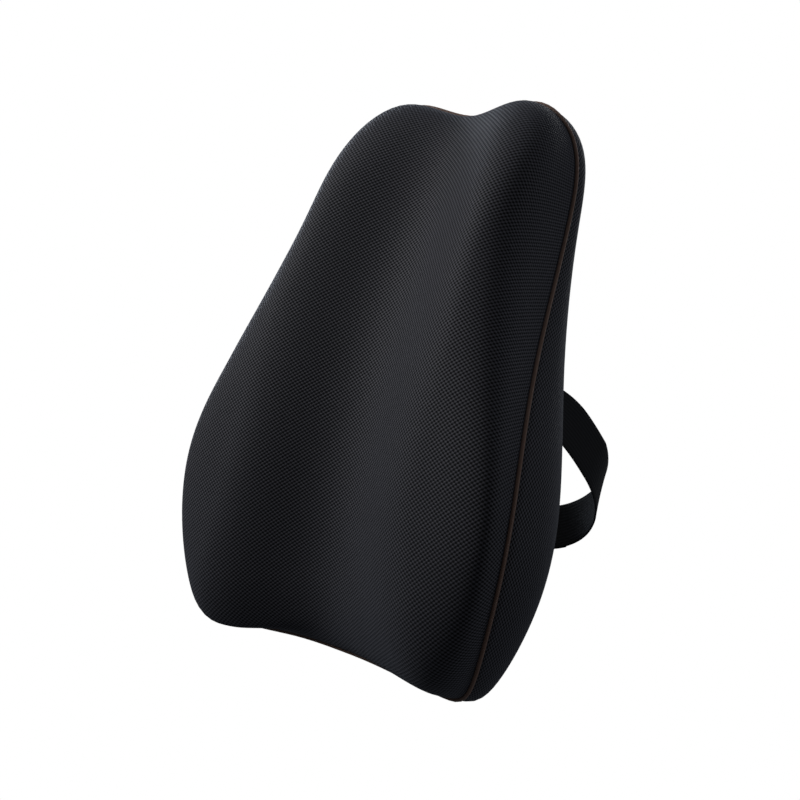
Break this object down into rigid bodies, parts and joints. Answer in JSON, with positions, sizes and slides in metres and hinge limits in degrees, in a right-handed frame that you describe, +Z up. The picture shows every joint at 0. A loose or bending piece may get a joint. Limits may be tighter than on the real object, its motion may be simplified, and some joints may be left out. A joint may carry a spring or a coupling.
{
  "type": "lumbar support cushion",
  "caption": "Tall lumbar support cushion with raised side wings, a mesh cover with corded piping, a zipped back and a buckled webbing strap that loops round a chair's backrest.",
  "frame": {"origin": "middle of the flat back face", "axes": "+Y out of the back face towards the chair, +Z up along the cushion's height, +X to the sitter's left seen from the front"},
  "size_m": [0.3392, 0.2685, 0.465],
  "materials": {
    "mesh_fabric": "open 3-D air mesh",
    "piping": "smooth woven cord cover",
    "foam": "moulded memory foam",
    "liner": "thin knit",
    "webbing": "woven polyester",
    "plastic": "fine grain",
    "metal": "black nickel",
    "label": "satin tape"
  },
  "bodies": {
    "cushion": {"foam_core": "foam", "foam_liner": "liner", "front_cover": "mesh_fabric", "side_gusset": "mesh_fabric", "back_panel_upper": "mesh_fabric", "back_panel_lower": "mesh_fabric", "front_piping": "piping", "zipper_tape_upper": "webbing", "zipper_tape_lower": "webbing", "zipper_chain_upper": "plastic", "zipper_chain_lower": "plastic", "zipper_stop_closed": "metal", "zipper_stop_open": "metal", "strap_right": "webbing", "strap_left": "webbing", "buckle_socket": "plastic", "buckle_plug": "plastic", "care_label": "label"},
    "slider": {"zipper_slider": "metal"},
    "pull": {"zipper_pull": "metal"},
    "adjuster": {"strap_adjuster": "plastic"},
    "prong_upper": {"buckle_prong_upper": "plastic"},
    "prong_lower": {"buckle_prong_lower": "plastic"}
  },
  "joints": [
    {"name": "zipper_slide", "type": "slide", "parent": "cushion", "child": "slider", "axis": [-1, 0, 0], "range_m": [0, 0.2]},
    {"name": "pull_swing", "type": "hinge", "parent": "slider", "child": "pull", "pos_m": [0.1015, 0.0012, -0.155], "axis": [0, 0, -1], "range_deg": [0, 170]},
    {"name": "adjuster_slide", "type": "slide", "parent": "cushion", "child": "adjuster", "axis": [-0.9578, 0, -0.2873], "range_m": [0, 0.016]},
    {"name": "prong_upper_flex", "type": "hinge", "parent": "cushion", "child": "prong_upper", "pos_m": [-0.011, 0.147, -0.09158], "axis": [0, 1, 0], "range_deg": [0, 9.5], "stiffness_Nm_per_rad": 0.6},
    {"name": "prong_lower_flex", "type": "hinge", "parent": "cushion", "child": "prong_lower", "pos_m": [-0.00266, 0.147, -0.11936], "axis": [0, -1, 0], "range_deg": [0, 9.5], "stiffness_Nm_per_rad": 0.6}
  ]
}
